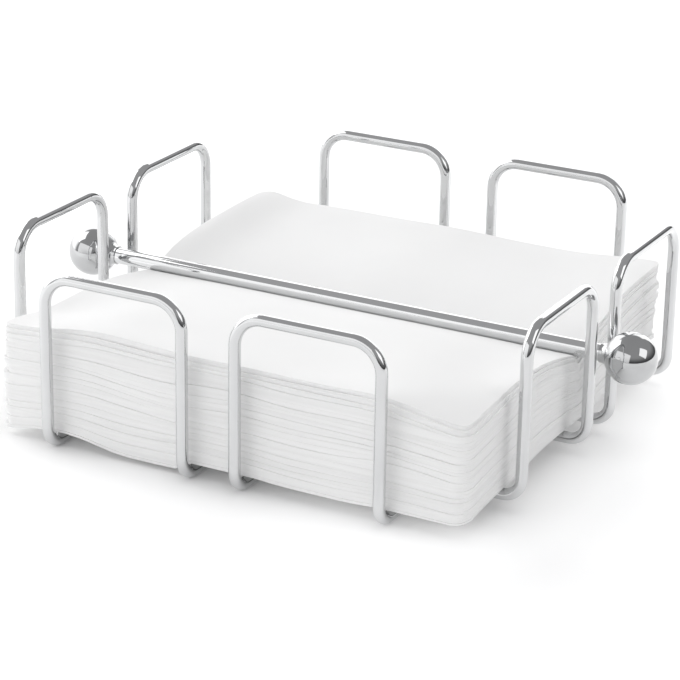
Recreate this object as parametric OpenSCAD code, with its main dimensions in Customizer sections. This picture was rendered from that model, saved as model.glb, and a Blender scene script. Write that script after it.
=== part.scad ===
// Wire napkin holder: four bent wire loops welded into an open tray,
// a stack of folded napkins and a loose weight bar with ball ends.
// The origin is on the table under the middle of the tray. +X runs along the bar,
// +Y to the back and +Z up. All lengths are millimetres.

/* [Napkins] */
// Side of one folded napkin
napkin_w = 160; // [130:1:210]
// Number of folded napkins in the stack
napkin_count = 24; // [8:1:34]
// Thickness of the stack in the valley under the bar
stack_mid_h = 21.6; // [16:0.2:30]
// How much thicker the stack is along its folded front edge
stack_front_rise = 11.5; // [2:0.5:14]
// How much thicker the stack is along its back edge
stack_back_rise = 8.5; // [2:0.5:14]
// Corner radius of a folded napkin
napkin_corner_r = 5; // [1:0.5:12]
// Room between two napkins
napkin_gap = 0.25; // [0.1:0.05:0.4]
// Room left between the napkins and what they touch
soft_clearance = 0.3; // [0.1:0.05:0.6]

/* [Wire frame] */
// Diameter of the loop wire
wire_d = 3.8; // [2.5:0.1:5]
// Room between the napkins and the hoops on each side, when the stack is centred
room = 8.1; // [3:0.1:15]
// Width of one hoop, at the wire centres
hoop_w = 49.2; // [36:0.2:58]
// Distance between the neighbouring legs of two hoops on one side, at the wire centres
hoop_gap = 18.5; // [15:0.5:28]
// Height of the hoop tops above the table
frame_h = 60.4; // [50:0.2:110]
// Bend radius of the hoop corners, at the wire centre
corner_r = 9.5; // [6:0.5:17]
// Bend radius where a leg turns in under the stack, at the wire centre
foot_r = 6; // [4:0.5:12]
// How far two crossing wires are pressed together by their spot weld
weld_sink = 0.4; // [0.1:0.05:0.8]

/* [Weight bar] */
// Diameter of the rod
rod_d = 5.6; // [4:0.1:8]
// Diameter of the balls
ball_d = 17; // [13:0.1:20]
// Distance from a side hoop's wire centre to the middle of the ball beside it
ball_reach = 9.9; // [9:0.1:20]
// Depth of the blind hole that holds the rod, from the end of the neck
seat_depth = 9; // [6:0.5:12]
// Length of the straight collar at the free end of the neck
collar_l = 0.5; // [0.2:0.1:3]
// Wall of the collar
neck_wall = 0.4; // [0.3:0.1:1.2]
// Radius of the hollow sweep from the collar onto the ball
flare_r = 2.8; // [1:0.1:4]
// Bevel on the ends of the rod
rod_bevel = 0.6; // [0.2:0.1:1.5]

/* [Hidden] */
$fn = 64;

// How far the stack lies to the right and to the front, as shares of the room there
shift_x_share = 0.5;
shift_y_share = 0.6;
// How far single napkins stray, as a share of the room that is left
stray_share = 0.15;
// Golden-angle step that spreads the strays without a visible rhythm
stray_step = 137.5;
// Places of the cross-section's points in front of and behind the bar, as shares of half the napkin's side
section_shares = [-0.95, -0.8, -0.6, -0.4, -0.25, -0.14, -0.05, 0, 0.05, 0.14, 0.25, 0.4, 0.6, 0.8];
// Where the section's full thickness ends, as a share of half the napkin's side
shoulder_share = 0.985;
// Reach of the valley to each side of the bar, as a share of half the napkin's side
valley_reach_share = 0.3;
// How far the overhanging edges sag, as a share of the room down to the lower wires
sag_share = 0.9;

// How far the circle of the neck's sweep dips into the ball, so that the two cross along one clean ring
flare_sink = 0.05;
// Overrun of a cut past the face that it goes through
cut = 1;

// Wire frame
loop_span = napkin_w + 2 * room + wire_d;
loop_offset = (hoop_gap + hoop_w) / 2;
lower_z = wire_d / 2;
upper_z = lower_z + wire_d - weld_sink;
hoop_top_z = frame_h - wire_d / 2;

// Height that the bend of a foot gains over its straight run, at the given reach from the middle of the tray
bend_start = loop_span / 2 - foot_r;
bend_inner_r = foot_r - wire_d / 2;
function past_bend(reach) = min(bend_inner_r, max(0, reach - bend_start));
function foot_rise(reach) = bend_inner_r - sqrt(pow(bend_inner_r, 2) - pow(past_bend(reach), 2));

// Napkin stack
stack_x = shift_x_share * room;
stack_y = -shift_y_share * room;
stray_x = stray_share * (room - abs(stack_x));
stray_y = stray_share * (room - abs(stack_y));
half_w = napkin_w / 2;
side_rise = foot_rise(half_w + abs(stack_x) + stray_x);
front_rise = foot_rise(half_w + abs(stack_y) + stray_y);
stack_z = upper_z + wire_d / 2 + side_rise + soft_clearance;
outer_leg = hoop_gap / 2 + hoop_w;
max_sag = sag_share * (wire_d - weld_sink - front_rise);

// Weight bar
rod_z = stack_z + stack_mid_h + soft_clearance + rod_d / 2;
ball_x = loop_span / 2 + ball_reach;
neck_r = rod_d / 2 + neck_wall;
sweep_r = neck_r + flare_r;
sweep_z = sqrt(pow(ball_d / 2 + flare_r - flare_sink, 2) - pow(sweep_r, 2));
neck_end = sweep_z + collar_l;
rod_l = 2 * (ball_x - neck_end + seat_depth);

function napkin_name(i) = str("napkin_", i < 9 ? "0" : "", i + 1);

// Height of the stack's underside: flat on the upper wires, sagging where it overhangs the outer ones
function overhang(y) = max(0, abs(y) - outer_leg) / (half_w - outer_leg);
function underside(y) = stack_z - max_sag * min(1, pow(overhang(y), 2));

// Height of the stack's top: a valley with a round bottom under the bar, rising to the front and back edges
valley_reach = valley_reach_share * half_w;
function from_rod(y) = sqrt(y * y + rod_d * rod_d) - rod_d;
function edge_rise(y) = y < 0 ? stack_front_rise : stack_back_rise;
function top(y) = stack_z + stack_mid_h + edge_rise(y) * (1 - exp(-from_rod(y) / valley_reach));

// Underside and top of napkin i at the distance y from the bar
function leaf_pitch(y) = (top(y) - underside(y) + napkin_gap) / napkin_count;
function leaf_low(i, y) = underside(y) + i * leaf_pitch(y);
function leaf_high(i, y) = leaf_low(i, y) + leaf_pitch(y) - napkin_gap;
function leaf_mid(i, y) = (leaf_low(i, y) + leaf_high(i, y)) / 2;
function leaf_y(i, share) = share * half_w + stack_y + stray_y * sin(stray_step * i);
function leaf_nose(i, side) = let (y = leaf_y(i, side)) [y, leaf_mid(i, y)];

// Cross-section of napkin i from front to back, with a narrowed nose at each end
function places(i) = concat(
    [leaf_y(i, -shoulder_share)],
    [for (share = section_shares) share * half_w],
    [leaf_y(i, shoulder_share)]
);
function section(i) = let (ys = places(i)) concat(
    [leaf_nose(i, -1)],
    [for (y = ys) [y, leaf_low(i, y)]],
    [leaf_nose(i, 1)],
    [for (k = [len(ys) - 1 : -1 : 0]) [ys[k], leaf_high(i, ys[k])]]
);

// Straight wire of the given length, centred, along Z
module wire(length) {
    cylinder(d = wire_d, h = length, center = true);
}

// Quarter bend about Z, from +X to +Y
module bend(radius) {
    rotate_extrude(angle = 90) translate([radius, 0]) circle(d = wire_d);
}

// One closed loop: two upright hoops, joined by two runs under the stack
module wire_loop(base_z) {
    leg_low = base_z + foot_r;
    leg_l = hoop_top_z - corner_r - leg_low;
    for (side = [-1, 1], end = [-1, 1]) {
        translate([side * hoop_w / 2, end * (loop_span / 2 - foot_r), leg_low])
            rotate([0, 0, end * 90]) rotate([-90, 0, 0]) bend(foot_r);
        translate([side * hoop_w / 2, end * loop_span / 2, leg_low])
            cylinder(d = wire_d, h = leg_l);
        translate([side * (hoop_w / 2 - corner_r), end * loop_span / 2, leg_low + leg_l])
            rotate([0, 0, side > 0 ? 0 : 180]) rotate([90, 0, 0]) bend(corner_r);
    }
    for (side = [-1, 1]) {
        translate([side * hoop_w / 2, 0, base_z]) rotate([90, 0, 0]) wire(loop_span - 2 * foot_r);
        translate([0, side * loop_span / 2, hoop_top_z]) rotate([0, 90, 0]) wire(hoop_w - 2 * corner_r);
    }
}

// Loop that runs from the front to the back and stands on the table
module lower_loop(side) {
    color("silver") translate([side * loop_offset, 0, 0]) wire_loop(lower_z);
}

// Loop that runs from left to right, laid across the lower loops
module upper_loop(side) {
    color("silver") translate([0, side * loop_offset, 0]) rotate([0, 0, 90]) wire_loop(upper_z);
}

// Rod of the weight bar, with bevelled ends
module weight_rod() {
    color("silver") translate([0, 0, rod_z]) rotate([0, 90, 0]) {
        cylinder(d = rod_d, h = rod_l - 2 * rod_bevel, center = true);
        for (end = [-1, 1]) {
            rotate([end > 0 ? 0 : 180, 0, 0]) translate([0, 0, rod_l / 2 - rod_bevel])
                cylinder(d1 = rod_d, d2 = rod_d - 2 * rod_bevel, h = rod_bevel);
        }
    }
}

// Half outline of the neck: a straight collar and a hollow sweep that leaves the ball almost tangent
module neck_outline() {
    square([neck_r, neck_end]);
    difference() {
        polygon([[0, 0], [sweep_r, sweep_z], [0, sweep_z]]);
        translate([sweep_r, sweep_z]) circle(r = flare_r);
    }
}

// Ball with its flared neck and the blind hole for the rod
module end_ball(side) {
    color("silver") translate([side * ball_x, 0, rod_z]) rotate([0, -side * 90, 0]) difference() {
        union() {
            sphere(d = ball_d);
            rotate_extrude() neck_outline();
        }
        translate([0, 0, neck_end - seat_depth]) cylinder(d = rod_d, h = seat_depth + cut);
    }
}

// Square with rounded corners that a folded napkin covers
module napkin_outline() {
    square([napkin_w - 2 * napkin_corner_r, napkin_w], center = true);
    square([napkin_w, napkin_w - 2 * napkin_corner_r], center = true);
    for (sx = [-1, 1], sy = [-1, 1]) {
        translate([sx, sy] * (half_w - napkin_corner_r)) circle(r = napkin_corner_r);
    }
}

// Folded napkin i, counted from the bottom of the stack
module napkin(i) {
    color("white") translate([stack_x + stray_x * cos(stray_step * i), 0, 0]) intersection() {
        rotate([90, 0, 90]) linear_extrude(napkin_w, center = true) polygon(section(i));
        translate([0, leaf_y(i, 0), 0]) linear_extrude(frame_h) napkin_outline();
    }
}

lower_loop(-1);  // lower_loop_left
lower_loop(1);  // lower_loop_right
upper_loop(-1);  // upper_loop_front
upper_loop(1);  // upper_loop_back
weight_rod();
end_ball(-1);  // end_ball_left
end_ball(1);  // end_ball_right
for (i = [0 : napkin_count - 1]) napkin(i);
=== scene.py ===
"""Looks of the wire napkin holder: chrome wire and bar, folded paper napkins, floor, light and camera."""
import math

import bpy
import numpy as np
from mathutils import Matrix, Vector


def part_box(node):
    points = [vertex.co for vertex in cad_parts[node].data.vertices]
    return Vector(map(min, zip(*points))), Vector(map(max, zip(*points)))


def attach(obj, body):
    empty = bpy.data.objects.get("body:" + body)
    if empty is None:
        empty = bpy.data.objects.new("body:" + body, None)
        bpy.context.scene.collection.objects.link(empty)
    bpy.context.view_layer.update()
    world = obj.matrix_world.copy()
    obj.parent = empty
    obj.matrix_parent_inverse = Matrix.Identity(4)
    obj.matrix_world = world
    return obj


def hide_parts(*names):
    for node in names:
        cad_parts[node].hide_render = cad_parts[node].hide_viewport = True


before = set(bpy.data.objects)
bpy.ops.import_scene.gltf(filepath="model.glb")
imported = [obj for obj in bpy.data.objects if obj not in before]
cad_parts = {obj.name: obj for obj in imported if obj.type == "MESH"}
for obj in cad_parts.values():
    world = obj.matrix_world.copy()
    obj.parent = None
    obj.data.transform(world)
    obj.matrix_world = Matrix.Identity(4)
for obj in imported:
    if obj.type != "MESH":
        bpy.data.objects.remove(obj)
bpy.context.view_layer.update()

MM = 0.001

TO_LEFT = (-1.0, 0.0, 0.0)
TO_RIGHT = (1.0, 0.0, 0.0)
TO_FRONT = (0.0, -1.0, 0.0)
TO_BACK = (0.0, 1.0, 0.0)
UP = (0.0, 0.0, 1.0)
WHITE = (1.0, 1.0, 1.0, 1.0)

# The camera, fitted to the hoops in the photograph, with its angles in degrees
IMAGE_PIXELS = 680
FOCAL_PIXELS = 2615.95
SENSOR_MM = 36.0
CAMERA_PLACE_MM = (375.255, -714.578, 331.028)
CAMERA_AZIMUTH = 27.899
CAMERA_ELEVATION = 21.155
CAMERA_ROLL = -0.973

# Softboxes in metres, watts and degrees: three that the balls mirror, and light that nothing mirrors
LIGHT_AIM = (0.0, 0.0, 0.04)
MIRRORED_LIGHTS = (
    dict(name="left_softbox", place=(-0.556, -0.02, 0.53), size=(0.5, 0.36), power=0.99),
    dict(name="right_softbox", place=(0.80, -0.05, 0.51), size=(0.5, 0.5), power=0.95, spin=45.0),
    dict(name="front_softbox", place=(-0.34, -1.16, 0.46), size=(1.7, 0.9), power=4.0),
)
SOFT_LIGHTS = (
    dict(name="top_light", place=(0.25, -0.05, 1.3), size=(0.9, 0.9), power=3.05),
    dict(name="left_fill", place=(-1.0, -0.05, 0.14), size=(0.5, 0.2), power=0.6),
    dict(name="back_fill", place=(0.05, 1.1, 0.22), size=(0.6, 0.3), power=0.8),
)

# The room: a white backdrop behind the object, a pale wall on its left, and grey that darkens downward
BACKDROP_COLOUR = (1.8, 1.8, 1.8, 1.0)
WALL_COLOUR = (0.447, 0.447, 0.452, 1.0)
ROOM_HIGH_COLOUR = (0.404, 0.404, 0.409, 1.0)
ROOM_LOW_COLOUR = (0.074, 0.074, 0.076, 1.0)
# Where they start and end: an angle from straight behind, then parts of the direction that is looked in
BACKDROP_RIGHT_DEGREES = 39.0
BACKDROP_RIGHT_EDGE = (-0.03, 0.03)
BACKDROP_TOP_EDGE = (0.68, 0.60)
BACKDROP_DEPTH_EDGE = (-0.1, 0.2)
WALL_EDGE = (0.1, 0.75)
ROOM_HEIGHTS = (0.45, 0.0)

# The floor, its glow, and what is added: how much, and where along a direction it grows, in metres. The glow
# is painted light, since the floor is no lamp, and it is weaker near the tray as painted shade
FLOOR_HALF = 4.0
FLOOR_COLOUR = (0.97, 0.97, 0.97, 1.0)
FLOOR_ROUGHNESS = 0.8
FLOOR_PAINTED_GLOW = 0.05
BESIDE_TRAY = (TO_RIGHT, 0.04, 0.08)
BEHIND_FRONT_CORNER = (TO_BACK, -0.11, -0.065)
# Painted light and shade on the floor: each entry adds glow, or takes some away, where its ramps rise
FLOOR_PAINTED_GLOWS = (
    (0.20, (TO_LEFT, 0.09, 0.22)),
    (0.11, (TO_FRONT, 0.08, 0.112)),
    (0.14, (TO_BACK, 0.09, 0.22)),
    (0.19, (TO_RIGHT, 0.072, 0.108), BEHIND_FRONT_CORNER),
    (-0.12, (TO_RIGHT, 0.12, 0.17), BEHIND_FRONT_CORNER),
    (0.07, (TO_BACK, -0.025, 0.0), BESIDE_TRAY),
    (0.10, (TO_BACK, 0.04, 0.065), BESIDE_TRAY),
    (0.13, (TO_FRONT, 0.068, 0.084), (TO_BACK, -0.125, -0.09),
     (TO_RIGHT, 0.0, 0.06), (TO_LEFT, -0.115, -0.085)),
)

# Chrome: its darkest and palest grey, a touch of blue, and the scale and strength of its haze and ripple.
# The loop, rod and ball greys are lit and shaded copies of one chrome: the rod's paler greys paint brighter
# reflections, and the balls' darker greys paint shade in what they mirror
LOOP_GREYS = (0.62, 0.70)
ROD_LIT_GREYS = (0.70, 0.76)
BALL_SHADED_GREYS = (0.50, 0.58)
CHROME_BLUE = 0.005
CHROME_ROUGHNESS = (0.02, 0.06)
HAZE_SCALE, HAZE_DETAIL = 90.0, 6.0
RIPPLE_SCALE, RIPPLE_DETAIL = 260.0, 2.0
RIPPLE_STRENGTH, RIPPLE_DEPTH = 0.02, 0.0004

# Paper: its darkest and palest tone, and the scale and strength of its clouds, crepe and streaks of painted
# shade
PAPER_COLOURS = ((0.90, 0.90, 0.90, 1.0), (0.94, 0.94, 0.935, 1.0))
PAPER_ROUGHNESS = 0.95
PAPER_SPECULAR = 0.2
PAPER_SHEEN = 0.15
CLOUD_SCALE, CLOUD_DETAIL = 35.0, 5.0
CREPE_SCALE, CREPE_DETAIL = 1400.0, 4.0
CREPE_STRENGTH, CREPE_DEPTH = 0.15, 0.0002
SHADE_STREAK_SCALES, SHADE_STREAK_DETAIL = (9.0, 9.0, 800.0), 3.0
SHADE_STREAK_COLOURS = ((0.955, 0.955, 0.955, 1.0), WHITE)
SHADE_STREAK_PLACES = (0.35, 0.60)
# Streaks of painted shade, for the shade between the napkins' edges, show on faces that are steep and don't
# face right: both as ranges of the normal
STEEP_FACES = (0.8, 0.4)
FACES_OFF_RIGHT = (0.9, 0.5)


def box_mm(name):
    """A node's lowest and highest corners, in millimetres."""
    low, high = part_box(name)
    return np.array(low) / MM, np.array(high) / MM


NAPKIN_NAMES = sorted(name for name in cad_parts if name.startswith("napkin_"))
CHROME_NAMES = sorted(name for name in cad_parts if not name.startswith("napkin_"))

# Places in the CAD model that the napkins follow, in millimetres
WIRE_MM = 3.8
SOFT_ROOM_MM = 0.3
ROD_LOW = box_mm("weight_rod")[0]
LEFT_LOOP_LOW, LEFT_LOOP_HIGH = box_mm("lower_loop_left")
FRONT_LOOP_LOW = box_mm("upper_loop_front")[0]
STACK_LOW = np.min([box_mm(name)[0] for name in NAPKIN_NAMES], axis=0)
STACK_HIGH = np.max([box_mm(name)[1] for name in NAPKIN_NAMES], axis=0)
STACK_MIDDLE = (STACK_LOW + STACK_HIGH) / 2
STACK_HALF = (STACK_HIGH - STACK_LOW) / 2
OUTER_RUN_X = -LEFT_LOOP_LOW[0] - WIRE_MM / 2
INNER_RUN_X = -LEFT_LOOP_HIGH[0] + WIRE_MM / 2
OUTER_RUN_Y = -FRONT_LOOP_LOW[1] - WIRE_MM / 2
REST_Z = FRONT_LOOP_LOW[2] + WIRE_MM + SOFT_ROOM_MM
MIDDLE_TOP_Z = ROD_LOW[2] - SOFT_ROOM_MM

# The stack's underside: how far its front hangs past the outer wires, between the wires and at the left end
FRONT_SAG_MM = 2.9
WIDE_DIP_MM = 3.2
RIGHT_DIP_MM = 0.6
END_DIP_MM = 2.4
BACK_DIP_SHARE = 0.3
MOST_OVERHANG = 1.05
WIRE_CLEAR_MM = WIRE_MM / 2 + 1.0
WIDE_RAMPS_MM = (24.0, 3.0)
RIGHT_RAMPS_MM = (12.0, 12.0)
END_RAMP_MM = 16.0

# The stack's top: how far it rises from the bar to its edges, and drops at the left and at one corner
FRONT_RISE_MM = STACK_HIGH[2] - MIDDLE_TOP_Z
BACK_RISE_MM = 7.3
BACK_RIGHT_RISE_MM = 1.8
BACK_LEFT_RISE_MM = 2.2
BACK_MIDDLE_RISE_MM = 1.2
BACK_MIDDLE_X = 2.0
BACK_MIDDLE_REACH_MM = 20.0
LEFT_DROP_MM = 4.4
LEFT_DROP_LOST = 0.5
CORNER_DROP_MM = 4.2
# Where ends and edges start and finish, as shares of half the stack, and the corner as a sum of two
RIGHT_END = (0.52, 0.92)
LEFT_END = (0.76, 0.96)
LEFT_DROP = (0.56, 0.96)
FRONT_EDGE = (0.75, 1.0)
FRONT_RIGHT_CORNER = (1.55, 2.05)
# The valley under the bar, and the groove in it that the bar presses
VALLEY_REACH_MM = 20.0
VALLEY_ROUND_MM = 3.6
WIDER_AT_RIGHT = 0.6
NARROWER_AT_LEFT = 0.4
HUG_MM = 1.2
HUG_REACH_MM = 3.2
# Waves of the top: height, length per radian along each direction, and the phase where there is one
BROAD_WAVE_MM, BROAD_WAVE_X, BROAD_WAVE_Y = 0.5, (17.0, 0.8), (23.0, 2.0)
SLANT_WAVE_MM, SLANT_WAVE_X, SLANT_WAVE_Y = 0.3, 9.0, 14.0
BACK_WAVE_SHARE = 0.4
WAVE_START_MM = (4.0, 24.0)

# How the napkins share the stack's thickness: ranges of their weight, swell and stretch
STACK_SEED = 11
WEIGHTS = (0.65, 1.4)
SWELLS = (0.15, 0.4)
STRETCHES_MM = (14.0, 40.0)
SECOND_WAVE, SECOND_PITCH = 0.5, 2.3
DEPTH_SWELL, DEPTH_STRETCH_MM = 0.2, 19.0
LEAST_HALF_MM = 0.2
FILL_SHARE = 0.985

# One folded napkin: its folds, the gap between its halves near and far from a fold, and its open edges
FOLD_MM = 0.06
BLUNT = 0.6
NARROW_SHARE = 0.02
WIDE_SHARE = 0.33
DEPTH_SHARE = 0.99
INNER_FOLD_BACK = 0.9
LIP_MM = 0.15
LIP_SHARE = 0.93
# Places along half a sheet: from its fold, from a crease, and from its edge
FOLD_KNOTS_MM = np.array([0.0, 0.02, 0.045, 0.075, 0.095, 0.15, 0.24, 0.4, 0.7, 1.2, 2.0, 3.2, 5.0, 7.5])
CREASE_KNOTS_MM = np.array([0.0, 0.6, 1.2, 1.8, 2.4, 3.0, 3.8, 5.0, 6.6])
EDGE_KNOTS_MM = np.array([6.0, 4.0, 2.6, 1.6, 0.9, 0.45, 0.2, 0.15, 0.1, 0.05, 0.0])
MIDDLE_KNOTS = 27
CREASE_CLEAR_MM = 8.0
# Its outline: the corners, and how its sides run together towards the back
FRONT_RIGHT_CORNER_MM = 5.5
BACK_RIGHT_CORNER_MM = 2.5
BACK_LEFT_CORNER_MM = 6.0
FRONT_LEFT_CORNER_MM = 2.0
LEFT_SPREAD_MM = 3.0
LEFT_TAPER_MM = 1.6
RIGHT_TAPER_MM = 3.6
RAGGED_MM = 0.6
RAGGED_SHARES = (0.2, 1.0)
# How its edges stray, lean and wave: a wave's height comes with its length per radian
FRONT_STRAY_KEPT = 0.2
RIGHT_STRAY_KEPT = 0.1
LEFT_STRAY_MM = 0.6
BACK_STRAY_MM = 1.5
LAYER_STRAY_MM = 0.25
BACK_LEAN_MM = 5.5
LEFT_WAVE_MM, LEFT_WAVE_LENGTH = 0.4, 13.0
BACK_WAVE_MM, BACK_WAVE_LENGTH = 0.4, 15.0
RIGHT_WAVE_MM, RIGHT_WAVE_LENGTH = 0.04, 24.0
COMMON_WAVE_MM, COMMON_WAVE_LENGTH, COMMON_WAVE_PHASE = 0.5, 11.0, 0.6
FRONT_WAVE_MM, FRONT_WAVE_LENGTH = 0.07, 26.0
FRONT_RIPPLE_MM, FRONT_RIPPLE_LENGTH = 0.035, 8.0
OPEN_EDGE_MM = 14.0
FOLDED_EDGE_MM = 6.0
# How the upper napkins draw back
TOP_SHOULDER = 0.84
TOP_RECESS_MM = 1.5
LEFT_SHOULDER = 0.7
LEFT_RECESS_MM = 0.8


def ramp(value, start, end):
    """Goes smoothly from 0 at start to 1 at end."""
    t = np.clip((value - start) / (end - start), 0.0, 1.0)
    return t * t * (3.0 - 2.0 * t)


def between(x, low, high, ramps):
    """One between low and high, with soft ramps inside both ends."""
    return ramp(x, low, low + ramps[0]) * ramp(x, high, high - ramps[1])


def front_dip(x):
    """How much lower than on the wires the front edge hangs between them and past the last one."""
    outer, inner = OUTER_RUN_X - WIRE_CLEAR_MM, INNER_RUN_X + WIRE_CLEAR_MM
    past_end = OUTER_RUN_X + WIRE_CLEAR_MM
    wide = WIDE_DIP_MM * between(x, -outer, -inner, WIDE_RAMPS_MM)
    right = RIGHT_DIP_MM * between(x, inner, outer, RIGHT_RAMPS_MM)
    end = END_DIP_MM * ramp(-x, past_end, past_end + END_RAMP_MM)
    return wide + right + end


def underside(x, y):
    """Height of the stack's underside: on the upper wires, sagging where it overhangs them."""
    over = np.clip((np.abs(y) - OUTER_RUN_Y) / (-STACK_LOW[1] - OUTER_RUN_Y), 0.0, MOST_OVERHANG)
    front = np.where(y < 0, 1.0, BACK_DIP_SHARE)
    return REST_Z - (FRONT_SAG_MM + front * front_dip(x)) * over**2


def share_right(x):
    """Way from the stack's middle to its right end, which is 1. The left end is -1."""
    return (x - STACK_MIDDLE[0]) / STACK_HALF[0]


def edge_rise(x, y):
    """How much higher than under the bar the stack's top gets towards its front and back edges."""
    to_right = share_right(x)
    left_drop = LEFT_DROP_MM * ramp(-to_right, *LEFT_DROP)
    front = FRONT_RISE_MM - left_drop * (1.0 - LEFT_DROP_LOST * ramp(-y / STACK_HALF[1], *FRONT_EDGE))
    back = BACK_RISE_MM + BACK_MIDDLE_RISE_MM * np.exp(-(((x - BACK_MIDDLE_X) / BACK_MIDDLE_REACH_MM) ** 2))
    back = back + BACK_RIGHT_RISE_MM * ramp(to_right, *RIGHT_END)
    back = back + BACK_LEFT_RISE_MM * ramp(-to_right, *LEFT_END)
    return np.where(y < 0, front, back)


def wave(value, length, phase):
    """A sine wave with the given length per radian."""
    return np.sin(value / length + phase)


def top_waves(x, y):
    """Gentle unevenness of the top, weaker at the back."""
    broad = BROAD_WAVE_MM * wave(x, *BROAD_WAVE_X) * wave(y, *BROAD_WAVE_Y)
    slant = SLANT_WAVE_MM * wave(x, SLANT_WAVE_X, y / SLANT_WAVE_Y)
    return (broad + slant) * np.where(y < 0, 1.0, BACK_WAVE_SHARE)


def top_side(x, y):
    """Height of the stack's top: pressed round the bar, in a valley between crowned edges."""
    to_right = share_right(x)
    to_front = (STACK_MIDDLE[1] - y) / STACK_HALF[1]
    wider = 1.0 + WIDER_AT_RIGHT * ramp(to_right, *RIGHT_END)
    narrower = 1.0 - NARROWER_AT_LEFT * ramp(-to_right, *LEFT_END)
    reach = VALLEY_REACH_MM * np.where(y < 0, wider, narrower)
    away = np.sqrt(y * y + VALLEY_ROUND_MM**2) - VALLEY_ROUND_MM
    hug = HUG_MM * ramp(np.abs(y), 0.0, HUG_REACH_MM)
    z = MIDDLE_TOP_Z + hug + (edge_rise(x, y) - HUG_MM) * (1.0 - np.exp(-away / reach))
    corner = CORNER_DROP_MM * ramp(to_right + to_front, *FRONT_RIGHT_CORNER)
    return z - corner + top_waves(x, y) * ramp(away, *WAVE_START_MM)


class Stack:
    """Where each napkin lies between the stack's underside and its top."""

    def __init__(self, count, seed):
        rng = np.random.default_rng(seed)
        self.rng = rng
        self.count = count
        self.weight = rng.uniform(*WEIGHTS, count)
        self.swell = rng.uniform(*SWELLS, count)
        self.stretch = rng.uniform(*STRETCHES_MM, count)
        self.phase = rng.uniform(0.0, 2.0 * math.pi, (count, 3))

    def weights(self, x, y):
        """Share of the stack's thickness that each napkin takes at a place."""
        shape = (self.count,) + (1,) * x.ndim
        weight, swell, stretch = (v.reshape(shape) for v in (self.weight, self.swell, self.stretch))
        a, b, c = (self.phase[:, k].reshape(shape) for k in range(3))
        along = wave(x, stretch, a) + SECOND_WAVE * wave(SECOND_PITCH * x, stretch, b)
        return weight * (1.0 + swell * along + DEPTH_SWELL * wave(y, DEPTH_STRETCH_MM, c))

    def leaf(self, i, x, y):
        """Middle height, half thickness and level of napkin i."""
        share = self.weights(x, y)
        total = share.sum(axis=0)
        low_level = share[:i].sum(axis=0) / total
        high_level = low_level + share[i] / total
        low_z = underside(x, y)
        depth = top_side(x, y) - low_z
        level = (low_level + high_level) / 2
        half = np.maximum(LEAST_HALF_MM, depth * (high_level - low_level) / 2 * FILL_SHARE)
        return low_z + depth * level, half, level


def sheet_knots(half, crease=None):
    """Places along a sheet, from edge to edge, that crowd together at its fold, a crease and both edges."""
    middle = np.linspace(FOLD_KNOTS_MM[-1], half - EDGE_KNOTS_MM[0], MIDDLE_KNOTS)[1:-1]
    if crease is not None:
        middle = middle[np.abs(middle - crease) > CREASE_CLEAR_MM]
        middle = np.sort(np.concatenate([middle, crease - CREASE_KNOTS_MM[1:], crease + CREASE_KNOTS_MM]))
    reach = np.concatenate([FOLD_KNOTS_MM, middle, half - EDGE_KNOTS_MM])
    return np.concatenate([-reach[:0:-1], reach])


def turn(distance, radius):
    """Turn round a blunt fold, from -1 to 1, and way from its outside, at a distance along the sheet."""
    arc = radius * math.pi / 2
    angle = np.clip(distance / arc, -1.0, 1.0) * math.pi / 2
    rise = np.sign(angle) * np.abs(np.sin(angle)) ** BLUNT
    bent = radius * (1.0 - np.clip(np.cos(angle), 0.0, 1.0) ** BLUNT)
    return rise, bent + np.maximum(0.0, np.abs(distance) - arc)


def fold_twice(s, t, side):
    """Distances from the right and front folds, and the layer's place in the thickness, from -1 to 1."""
    inner, from_right = turn(s, FOLD_MM)
    spread = NARROW_SHARE + (WIDE_SHARE - NARROW_SHARE) * ramp(np.abs(s), 0.0, side)
    share = (1.0 + spread) / 2 - inner * (1.0 - spread) / 2
    upper, from_front = turn(DEPTH_SHARE * t, FOLD_MM * share)
    from_front = from_front + INNER_FOLD_BACK * FOLD_MM * (1.0 - share)
    layer = upper * share
    below = np.where(layer > (1.0 + spread) / 2, spread, np.where(layer > 0, -spread, -1.0))
    lip = ramp(np.maximum(np.abs(s), np.abs(t)), side - LIP_MM, side)
    return from_right, from_front, layer + LIP_SHARE * lip * (below - layer)


def round_corner(p, q, radius):
    """Distances from two edges after the square corner between them is rounded."""
    a = np.clip(radius - p, 0.0, None)
    b = np.clip(radius - q, 0.0, None)
    inside = (a > 0) & (b > 0)
    scale = np.maximum(a, b) / np.where(inside, np.hypot(a, b), 1.0)
    return np.where(inside, radius - a * scale, p), np.where(inside, radius - b * scale, q)


def round_plan(from_right, from_front, width, depth):
    """Distances from the right and front edges after the four corners are rounded."""
    from_right, from_front = round_corner(from_right, from_front, FRONT_RIGHT_CORNER_MM)
    from_right, from_back = round_corner(from_right, depth - from_front, BACK_RIGHT_CORNER_MM)
    from_left, from_back = round_corner(width - from_right, from_back, BACK_LEFT_CORNER_MM)
    from_left, from_front = round_corner(from_left, depth - from_back, FRONT_LEFT_CORNER_MM)
    return width - from_left, from_front


def lay_out(from_right, from_front, side, right, front, ragged):
    """Places of a napkin's points on the table: its sides run together towards the back."""
    along = from_front / (DEPTH_SHARE * side)
    right_edge = right - (RIGHT_TAPER_MM + ragged) * along
    left_edge = right - side - LEFT_SPREAD_MM * (1.0 - along) + LEFT_TAPER_MM * along
    return right_edge + (left_edge - right_edge) * from_right / side, front + from_front


def near_edges(from_right, from_front, side):
    """One at each edge of a napkin, fading inward."""
    return dict(
        left=np.exp((from_right - side) / OPEN_EDGE_MM),
        back=np.exp((from_front - DEPTH_SHARE * side) / OPEN_EDGE_MM),
        front=np.exp(-from_front / FOLDED_EDGE_MM),
        right=np.exp(-from_right / FOLDED_EDGE_MM),
    )


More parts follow.
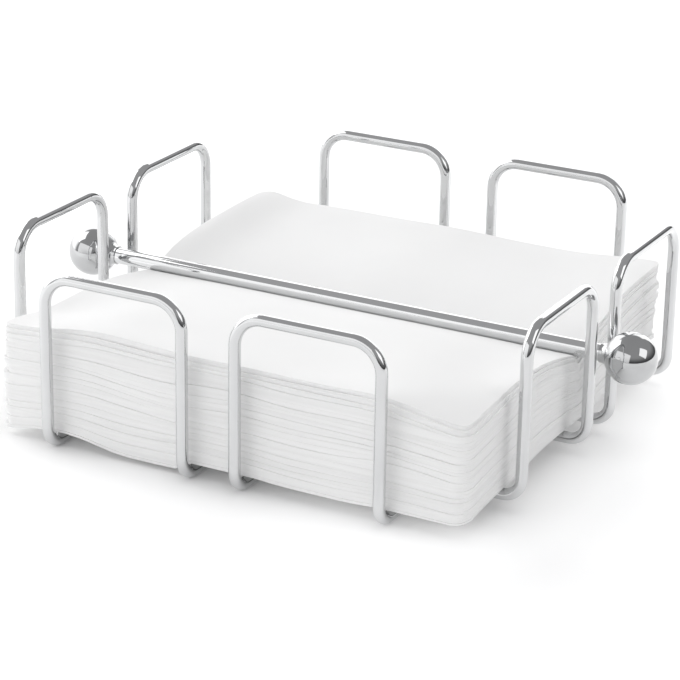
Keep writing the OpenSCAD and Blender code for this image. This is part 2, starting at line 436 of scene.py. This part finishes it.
def layer_stray(rng, s, t):
    """A stray of its own for each of the sheet's four quarters."""
    values = rng.uniform(-LAYER_STRAY_MM, LAYER_STRAY_MM, 4)
    return np.where(s < 0, np.where(t < 0, values[0], values[1]), np.where(t < 0, values[2], values[3]))


def ruffle(rng, s, t, x, y, near):
    """Places of a napkin's points after its open edges stray and all its edges wave."""
    a, b, c, d = rng.uniform(0.0, 2.0 * math.pi, 4)
    left_stray = rng.uniform(-LEFT_STRAY_MM, LEFT_STRAY_MM) + layer_stray(rng, s, t)
    back_stray = BACK_STRAY_MM * rng.uniform(-1.0, 1.0) + layer_stray(rng, s, t)
    left = left_stray + LEFT_WAVE_MM * wave(y, LEFT_WAVE_LENGTH, a)
    right = RIGHT_WAVE_MM * wave(y, RIGHT_WAVE_LENGTH, d)
    right = right + COMMON_WAVE_MM * wave(y, COMMON_WAVE_LENGTH, COMMON_WAVE_PHASE)
    back = back_stray + BACK_WAVE_MM * wave(x, BACK_WAVE_LENGTH, b)
    front = FRONT_WAVE_MM * wave(x, FRONT_WAVE_LENGTH, c)
    front = front + FRONT_RIPPLE_MM * wave(x, FRONT_RIPPLE_LENGTH, d)
    return x + near["left"] * left + near["right"] * right, y + near["back"] * back + near["front"] * front


def draw_back(x, y, level, near):
    """Places of a napkin's points after the upper napkins draw back and the back edge leans."""
    recess = TOP_RECESS_MM * ramp(level, TOP_SHOULDER, 1.0) ** 2
    left_recess = LEFT_RECESS_MM * ramp(level, LEFT_SHOULDER, 1.0)
    x = x - near["right"] * recess + near["left"] * left_recess
    y = y + near["front"] * recess - near["back"] * BACK_LEAN_MM * (1.0 - level)
    return x, y


def napkin_points(stack, i, name):
    """Points of a square sheet folded in half twice: the first fold is on the right, the second in front."""
    low, high = box_mm(name)
    side = high[0] - low[0]
    right = STACK_HIGH[0] + RIGHT_STRAY_KEPT * (high[0] - STACK_HIGH[0])
    front = STACK_LOW[1] + FRONT_STRAY_KEPT * (low[1] - STACK_LOW[1])
    s, t = np.meshgrid(sheet_knots(side), sheet_knots(side, -front / DEPTH_SHARE), indexing="ij")
    from_right, from_front, layer = fold_twice(s, t, side)
    from_right, from_front = round_plan(from_right, from_front, side, DEPTH_SHARE * side)
    is_top = i == stack.count - 1
    ragged = stack.rng.uniform(*RAGGED_SHARES) * (0.0 if is_top else RAGGED_MM)
    x, y = lay_out(from_right, from_front, side, right, front, ragged)
    near = near_edges(from_right, from_front, side)
    x, y = ruffle(stack.rng, s, t, x, y, near)
    middle, half, level = stack.leaf(i, x, y)
    x, y = draw_back(x, y, level, near)
    return np.stack([x, y, middle + layer * half], axis=-1) * MM, side * MM


def shade_smooth(mesh):
    """Smooth shading for all faces of a mesh."""
    mesh.polygons.foreach_set("use_smooth", [True] * len(mesh.polygons))


def napkin_mesh(stack, i, name):
    """The folded sheet as an open mesh, and the side of the unfolded napkin."""
    points, side = napkin_points(stack, i, name)
    rows, columns = points.shape[:2]
    first = np.arange(rows - 1)[:, None] * columns + np.arange(columns - 1)[None, :]
    faces = np.stack([first, first + columns, first + columns + 1, first + 1], axis=-1)
    mesh = bpy.data.meshes.new("folded_" + name)
    mesh.from_pydata(points.reshape(-1, 3).tolist(), [], faces.reshape(-1, 4).tolist())
    shade_smooth(mesh)
    mesh.update()
    return mesh, 2.0 * side


class Graph:
    """A node tree, with short ways to add the nodes that are used here."""

    def __init__(self, tree):
        self.nodes = tree.nodes
        self.links = tree.links

    def fill(self, node, inputs):
        """Sets a node's inputs, each to a value or to the output of another node."""
        for name, value in inputs.items():
            if isinstance(value, bpy.types.NodeSocket):
                self.links.new(value, node.inputs[name])
            else:
                node.inputs[name].default_value = value

    def add(self, kind, inputs, **settings):
        """A new node, with its settings made before its inputs are filled."""
        node = self.nodes.new("ShaderNode" + kind)
        for name, value in settings.items():
            setattr(node, name, value)
        self.fill(node, inputs)
        return node

    def place(self):
        """Place on the object, in metres."""
        return self.add("TexCoord", {}).outputs["Object"]

    def along(self, vector, axis):
        """How far a vector goes along a fixed axis."""
        return self.add("VectorMath", {0: vector, 1: axis}, operation="DOT_PRODUCT").outputs["Value"]

    def math(self, operation, *values):
        return self.add("Math", dict(enumerate(values)), operation=operation).outputs["Value"]

    def ramp(self, value, start, end):
        """Goes smoothly from 0 at start to 1 at end."""
        inputs = {"Value": value, "From Min": start, "From Max": end}
        return self.add("MapRange", inputs, interpolation_type="SMOOTHSTEP").outputs["Result"]

    def spread(self, value, low, high):
        """Goes from low where the value is 0 to high where it is 1."""
        return self.add("MapRange", {"Value": value, "To Min": low, "To Max": high}).outputs["Result"]

    def noise(self, place, scale, detail):
        return self.add("TexNoise", {"Vector": place, "Scale": scale, "Detail": detail}).outputs["Fac"]

    def tones(self, value, colours, places=(0.0, 1.0)):
        """Goes from the first colour to the second between two places of a value."""
        node = self.add("ValToRGB", {"Fac": value})
        for element, colour, place in zip(node.color_ramp.elements, colours, places):
            element.position = place
            element.color = colour
        return node.outputs["Color"]

    def mix(self, factor, first, second, blend="MIX"):
        inputs = {"Factor": factor, "A": first, "B": second}
        return self.add("Mix", inputs, data_type="RGBA", blend_type=blend).outputs["Result"]

    def relief(self, height, strength, depth):
        inputs = {"Height": height, "Strength": strength, "Distance": depth}
        return self.add("Bump", inputs).outputs["Normal"]


def new_material(name):
    """A material, its node tree and its shader."""
    material = bpy.data.materials.new(name)
    material.use_nodes = True
    graph = Graph(material.node_tree)
    return material, graph, graph.nodes["Principled BSDF"]


def cool_grey(tone):
    """A grey with a touch of blue."""
    return (tone, tone + CHROME_BLUE, tone + 2.0 * CHROME_BLUE, 1.0)


def chrome_material(name, greys):
    """Bright chrome plate with a faint haze, between two grey tones, and the slightest ripple."""
    material, graph, shader = new_material(name)
    place = graph.place()
    haze = graph.noise(place, HAZE_SCALE, HAZE_DETAIL)
    ripple = graph.noise(place, RIPPLE_SCALE, RIPPLE_DETAIL)
    graph.fill(shader, {
        "Metallic": 1.0,
        "Roughness": graph.spread(haze, *CHROME_ROUGHNESS),
        "Base Color": graph.tones(haze, [cool_grey(tone) for tone in greys]),
        "Normal": graph.relief(ripple, RIPPLE_STRENGTH, RIPPLE_DEPTH),
    })
    return material


def paper_colour(graph, place):
    """White with faint clouds, and with fine level streaks of painted shade on the stack's edges, for the
    shade between the napkins.
    """
    paper = graph.tones(graph.noise(place, CLOUD_SCALE, CLOUD_DETAIL), PAPER_COLOURS)
    stretched = graph.add("Mapping", {"Vector": place, "Scale": SHADE_STREAK_SCALES}).outputs["Vector"]
    # Painted shade: darker level streaks stand in for the shade between the stacked napkins' edges
    shade_streaks = graph.tones(graph.noise(stretched, 1.0, SHADE_STREAK_DETAIL), SHADE_STREAK_COLOURS, SHADE_STREAK_PLACES)
    normal = graph.add("NewGeometry", {}).outputs["Normal"]
    steep = graph.ramp(graph.math("ABSOLUTE", graph.along(normal, UP)), *STEEP_FACES)
    off_right = graph.ramp(graph.along(normal, TO_RIGHT), *FACES_OFF_RIGHT)
    return graph.mix(graph.math("MULTIPLY", steep, off_right), paper, shade_streaks, blend="MULTIPLY")


def paper_material():
    """Matt white tissue with a fine crepe."""
    material, graph, shader = new_material("white_tissue")
    place = graph.place()
    crepe = graph.noise(place, CREPE_SCALE, CREPE_DETAIL)
    graph.fill(shader, {
        "Roughness": PAPER_ROUGHNESS,
        "Specular IOR Level": PAPER_SPECULAR,
        "Sheen Weight": PAPER_SHEEN,
        "Base Color": paper_colour(graph, place),
        "Normal": graph.relief(crepe, CREPE_STRENGTH, CREPE_DEPTH),
    })
    return material


def painted_floor_glow(graph, place):
    """Painted light on the floor: glow that grows from the tray outward and is weak beside and under it,
    where it leaves painted shade.
    """
    total = FLOOR_PAINTED_GLOW
    for strength, *ways in FLOOR_PAINTED_GLOWS:
        part = strength
        for axis, start, end in ways:
            part = graph.math("MULTIPLY", graph.ramp(graph.along(place, axis), start, end), part)
        total = graph.math("ADD", part, total)
    return total


def floor_material():
    """A pale floor with a little glow of its own, which is painted light and shade."""
    material, graph, shader = new_material("pale_floor_painted_glow")
    graph.fill(shader, {
        "Base Color": FLOOR_COLOUR,
        "Roughness": FLOOR_ROUGHNESS,
        "Emission Color": WHITE,
        # Painted light: the floor glows though it is no lamp
        "Emission Strength": painted_floor_glow(graph, graph.place()),
    })
    return material


def link(thing):
    """Puts an object into the scene."""
    bpy.context.scene.collection.objects.link(thing)


def add_napkins(material):
    """The stack, from the lowest napkin upward."""
    stack = Stack(len(NAPKIN_NAMES), STACK_SEED)
    for i, name in enumerate(NAPKIN_NAMES):
        mesh, flat_side = napkin_mesh(stack, i, name)
        mesh.materials.append(material)
        piece = bpy.data.objects.new("folded_" + name, mesh)
        link(piece)
        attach(piece, "napkins")
        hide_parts(name)


def dress_chrome():
    """Chrome for the loops, the rod and the balls, which keep their CAD shapes. The rod's chrome is a lit
    copy and the balls' a shaded copy, with painted light and shade in their greys.
    """
    loop = chrome_material("loop_chrome", LOOP_GREYS)
    # Painted light and shade: the rod's chrome is paler and the balls' darker than the loops'
    rod = chrome_material("rod_chrome_lit", ROD_LIT_GREYS)
    ball = chrome_material("ball_chrome_shaded", BALL_SHADED_GREYS)
    for name in CHROME_NAMES:
        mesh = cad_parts[name].data
        mesh.materials.clear()
        material = ball if name.startswith("end_ball") else rod if name == "weight_rod" else loop
        mesh.materials.append(material)
        shade_smooth(mesh)


def add_floor(material):
    """A square floor that belongs to the stage."""
    mesh = bpy.data.meshes.new("floor")
    corners = [(x * FLOOR_HALF, y * FLOOR_HALF, 0.0) for x, y in ((-1, -1), (1, -1), (1, 1), (-1, 1))]
    mesh.from_pydata(corners, [], [(0, 1, 2, 3)])
    mesh.materials.append(material)
    floor = bpy.data.objects.new("floor", mesh)
    link(floor)


def add_room():
    """White backdrop, pale wall and grey room, told apart by the direction that is looked in."""
    world = bpy.data.worlds.new("studio")
    bpy.context.scene.world = world
    world.use_nodes = True
    graph = Graph(world.node_tree)
    direction = graph.add("TexCoord", {}).outputs["Generated"]
    height = graph.along(direction, UP)
    away = math.radians(CAMERA_AZIMUTH)
    edge = away - math.radians(BACKDROP_RIGHT_DEGREES)
    to_behind = (-math.sin(away), math.cos(away), 0.0)
    off_edge = (-math.cos(edge), -math.sin(edge), 0.0)
    behind = graph.ramp(graph.along(direction, to_behind), *BACKDROP_DEPTH_EDGE)
    left = graph.ramp(graph.along(direction, off_edge), *BACKDROP_RIGHT_EDGE)
    low = graph.ramp(height, *BACKDROP_TOP_EDGE)
    backdrop = graph.math("MULTIPLY", graph.math("MULTIPLY", low, behind), left)
    wall = graph.ramp(graph.along(direction, TO_LEFT), *WALL_EDGE)
    room = graph.mix(graph.ramp(height, *ROOM_HEIGHTS), ROOM_HIGH_COLOUR, ROOM_LOW_COLOUR)
    room = graph.mix(wall, room, WALL_COLOUR)
    graph.fill(graph.nodes["Background"], {"Color": graph.mix(backdrop, room, BACKDROP_COLOUR)})


def add_softbox(name, place, size, power, spin=0.0, mirrored=True):
    """A softbox that faces the tray; one that isn't mirrored only adds to the soft light."""
    data = bpy.data.lights.new(name, "AREA")
    data.shape = "RECTANGLE"
    data.size, data.size_y = size
    data.energy = power
    light = bpy.data.objects.new(name, data)
    facing = (Vector(LIGHT_AIM) - Vector(place)).to_track_quat("-Z", "Y").to_matrix().to_4x4()
    light.matrix_world = Matrix.Translation(place) @ facing @ Matrix.Rotation(math.radians(spin), 4, "Z")
    light.visible_glossy = mirrored
    link(light)


def add_light():
    """All softboxes."""
    for softbox in MIRRORED_LIGHTS:
        add_softbox(**softbox)
    for softbox in SOFT_LIGHTS:
        add_softbox(**softbox, mirrored=False)


def add_camera():
    """The camera that took the photograph."""
    azimuth, elevation, roll = (math.radians(a) for a in (CAMERA_AZIMUTH, CAMERA_ELEVATION, CAMERA_ROLL))
    ahead = Vector((
        -math.sin(azimuth) * math.cos(elevation),
        math.cos(azimuth) * math.cos(elevation),
        -math.sin(elevation),
    ))
    level = Vector((math.cos(azimuth), math.sin(azimuth), 0.0))
    down = ahead.cross(level)
    right = level * math.cos(roll) + down * math.sin(roll)
    up = level * math.sin(roll) - down * math.cos(roll)
    data = bpy.data.cameras.new("camera")
    data.sensor_width = SENSOR_MM
    data.lens = FOCAL_PIXELS / IMAGE_PIXELS * SENSOR_MM
    camera = bpy.data.objects.new("camera", data)
    facing = Matrix((right, up, -ahead)).transposed().to_4x4()
    camera.matrix_world = Matrix.Translation(Vector(CAMERA_PLACE_MM) * MM) @ facing
    link(camera)
    bpy.context.scene.camera = camera


dress_chrome()
add_napkins(paper_material())
add_floor(floor_material())
add_room()
add_light()
add_camera()
bpy.context.scene.view_settings.view_transform = "Standard"
